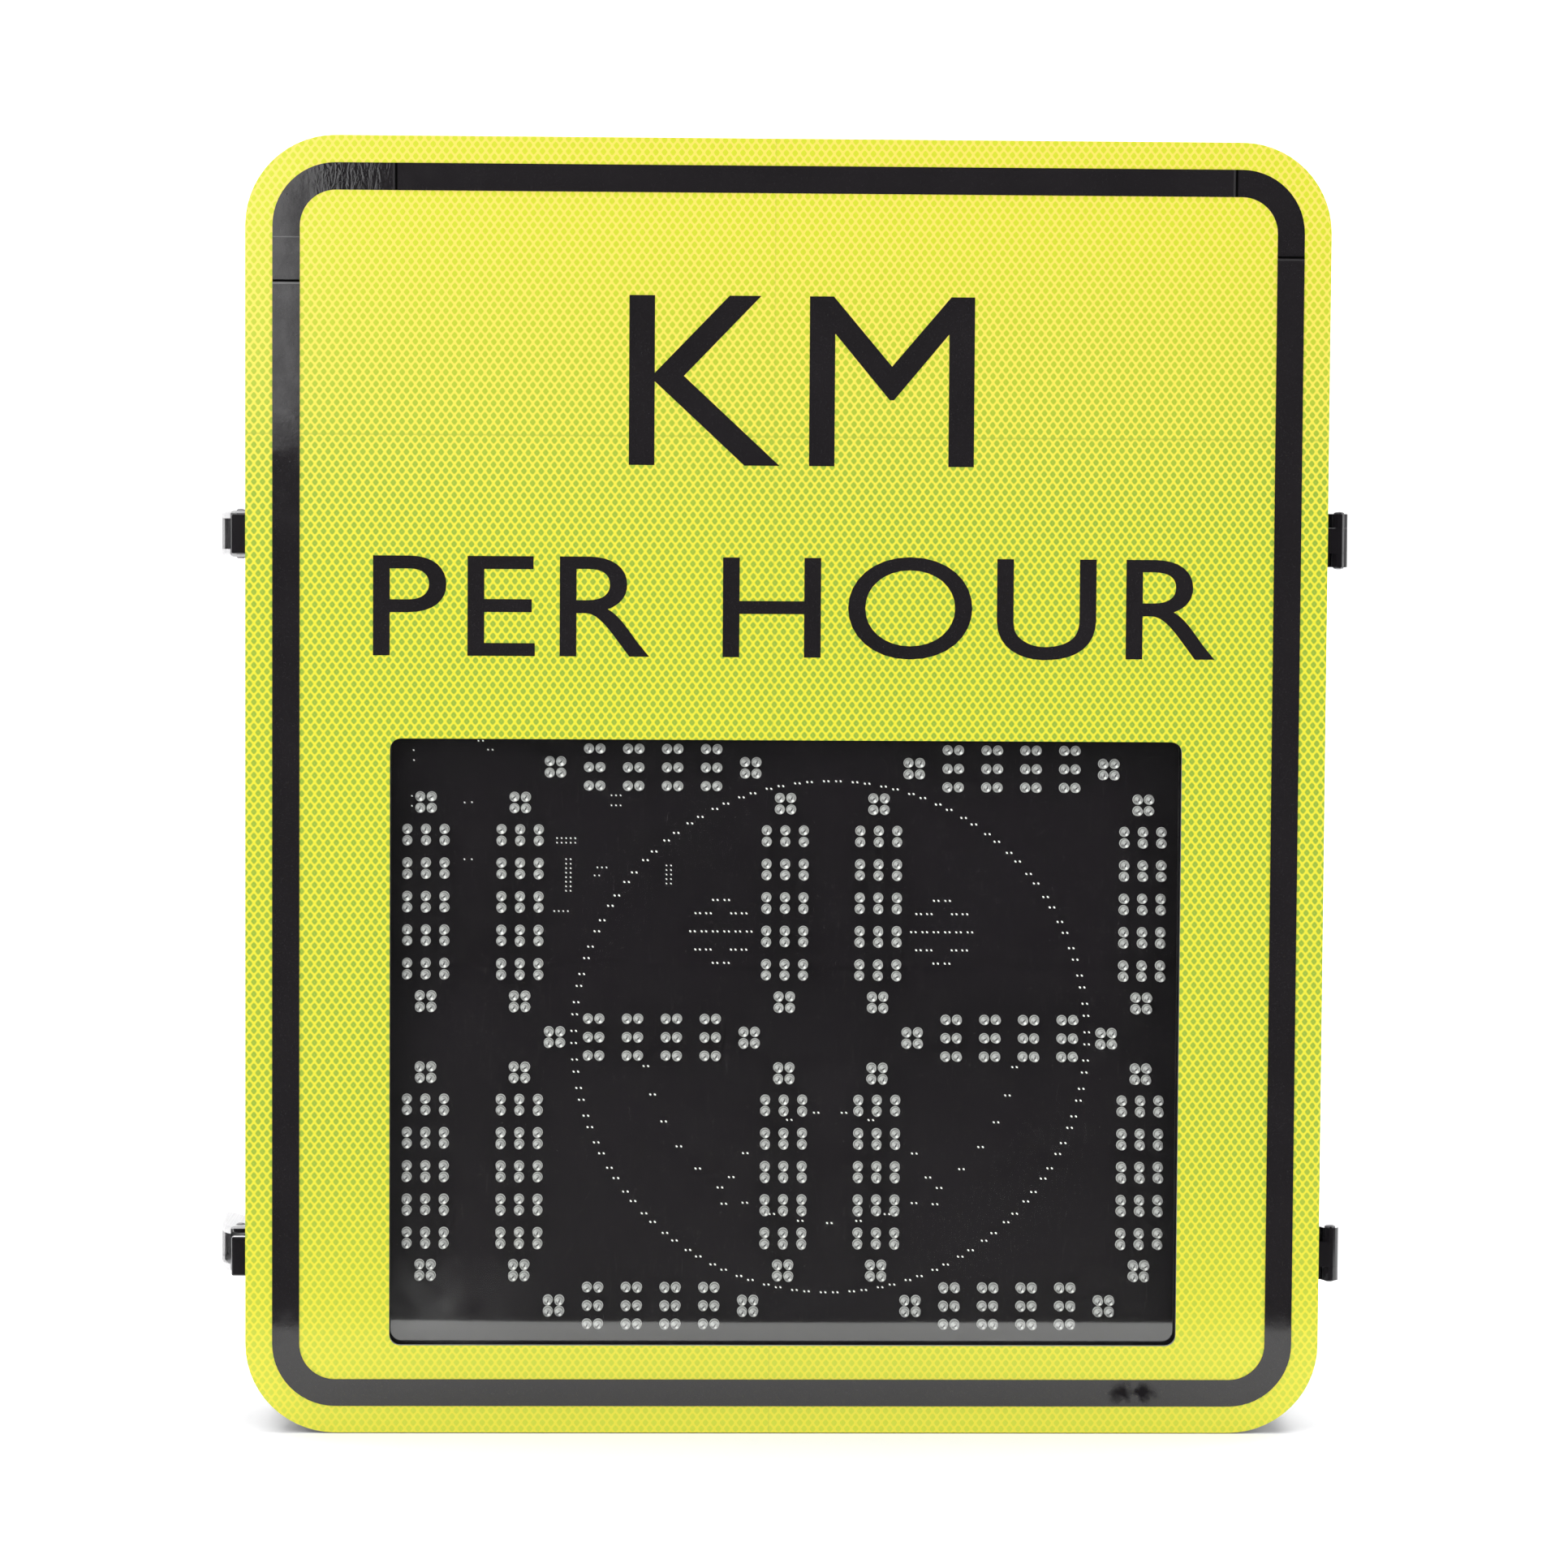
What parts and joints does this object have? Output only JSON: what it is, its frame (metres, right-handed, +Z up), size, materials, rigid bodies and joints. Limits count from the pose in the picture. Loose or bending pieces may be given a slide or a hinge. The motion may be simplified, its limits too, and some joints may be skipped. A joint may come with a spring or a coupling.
{
  "type": "radar speed sign",
  "caption": "Solar-fed radar speed feedback sign: fluorescent face on a hinged door with LED digits behind a window, latched to a box on pole rails.",
  "frame": {"origin": "centre of the pole bracket's rear face", "axes": "+X to the right as seen by a driver facing the sign, +Y to the back (towards the pole), +Z up"},
  "size_m": [0.6362, 0.224, 0.72],
  "materials": {
    "sheeting": "fluorescent yellow-green prismatic sheeting on composite panel",
    "grey_paint": "satin powder coat, light grey",
    "black_plastic": "glossy black moulding",
    "black_fitting": "satin black moulding",
    "bright_steel": "bright plated steel",
    "brass": "turned brass",
    "aluminium": "mill-finish aluminium",
    "clear_pane": "clear glossy polycarbonate",
    "seal_rubber": "black foam rubber",
    "board_black": "black solder resist, satin",
    "led_clear": "clear domed epoxy",
    "device_blue": "dark blue moulded case",
    "device_white": "off-white moulded case",
    "device_grey": "mid-grey moulded block"
  },
  "bodies": {
    "box": {"enclosure_box": "grey_paint", "enclosure_rim": "grey_paint", "door_seal": "seal_rubber", "upper_hinge_box_leaf": "black_plastic", "lower_hinge_box_leaf": "black_plastic", "upper_hinge_pin": "bright_steel", "lower_hinge_pin": "bright_steel", "upper_latch_base": "black_plastic", "lower_latch_base": "black_plastic", "upper_rail": "aluminium", "lower_rail": "aluminium", "pole_bracket": "aluminium", "mounting_plate": "aluminium", "battery": "black_fitting", "battery_strap": "aluminium", "charge_controller": "device_blue", "din_rail": "bright_steel", "circuit_breaker": "device_white", "terminal_block": "device_grey", "cable_gland": "black_fitting", "gland_locknut": "black_fitting", "vent_plug": "black_fitting"},
    "door": {"sign_panel": "sheeting", "door_shell": "grey_paint", "window_gasket": "seal_rubber", "window_pane": "clear_pane", "pane_clamp_frame": "aluminium", "display_board": "board_black", "leading_one_upper_leds": "led_clear", "leading_one_lower_leds": "led_clear", "tens_upper_left_leds": "led_clear", "tens_upper_right_leds": "led_clear", "tens_lower_left_leds": "led_clear", "tens_lower_right_leds": "led_clear", "tens_top_bar_leds": "led_clear", "tens_middle_bar_leds": "led_clear", "tens_bottom_bar_leds": "led_clear", "units_upper_left_leds": "led_clear", "units_upper_right_leds": "led_clear", "units_lower_left_leds": "led_clear", "units_lower_right_leds": "led_clear", "units_top_bar_leds": "led_clear", "units_middle_bar_leds": "led_clear", "units_bottom_bar_leds": "led_clear", "upper_left_standoff": "brass", "upper_right_standoff": "brass", "lower_left_standoff": "brass", "lower_right_standoff": "brass", "controller_unit": "black_fitting", "radar_module": "device_white", "radar_bracket": "aluminium", "upper_hinge_door_leaf": "black_plastic", "lower_hinge_door_leaf": "black_plastic", "upper_latch_keeper": "black_plastic", "lower_latch_keeper": "black_plastic"},
    "upper_lever": {"upper_latch_lever": "bright_steel"},
    "upper_bail": {"upper_latch_bail": "bright_steel"},
    "lower_lever": {"lower_latch_lever": "bright_steel"},
    "lower_bail": {"lower_latch_bail": "bright_steel"},
    "toggle": {"breaker_toggle": "black_fitting"}
  },
  "joints": [
    {"name": "door_hinge", "type": "hinge", "parent": "box", "child": "door", "pos_m": [0.311, -0.19, 0], "axis": [0, 0, 1], "range_deg": [0, 120]},
    {"name": "upper_lever_pivot", "type": "hinge", "parent": "box", "child": "upper_lever", "pos_m": [-0.3065, -0.176, 0.1975], "axis": [0, 0, 1], "range_deg": [0, 95]},
    {"name": "upper_bail_pivot", "type": "hinge", "parent": "upper_lever", "child": "upper_bail", "pos_m": [-0.3025, -0.164, 0.1975], "axis": [0, 0, 1], "range_deg": [-95, 0]},
    {"name": "lower_lever_pivot", "type": "hinge", "parent": "box", "child": "lower_lever", "pos_m": [-0.3065, -0.176, -0.2065], "axis": [0, 0, 1], "range_deg": [0, 95]},
    {"name": "lower_bail_pivot", "type": "hinge", "parent": "lower_lever", "child": "lower_bail", "pos_m": [-0.3025, -0.164, -0.2065], "axis": [0, 0, 1], "range_deg": [-95, 0]},
    {"name": "breaker_toggle", "type": "hinge", "parent": "box", "child": "toggle", "pos_m": [0.069, -0.0955, 0.07], "axis": [1, 0, 0], "range_deg": [0, 76]}
  ],
  "couplings": [
    {"joint": "upper_bail_pivot", "follows": "upper_lever_pivot", "ratio": -1},
    {"joint": "lower_bail_pivot", "follows": "lower_lever_pivot", "ratio": -1}
  ]
}
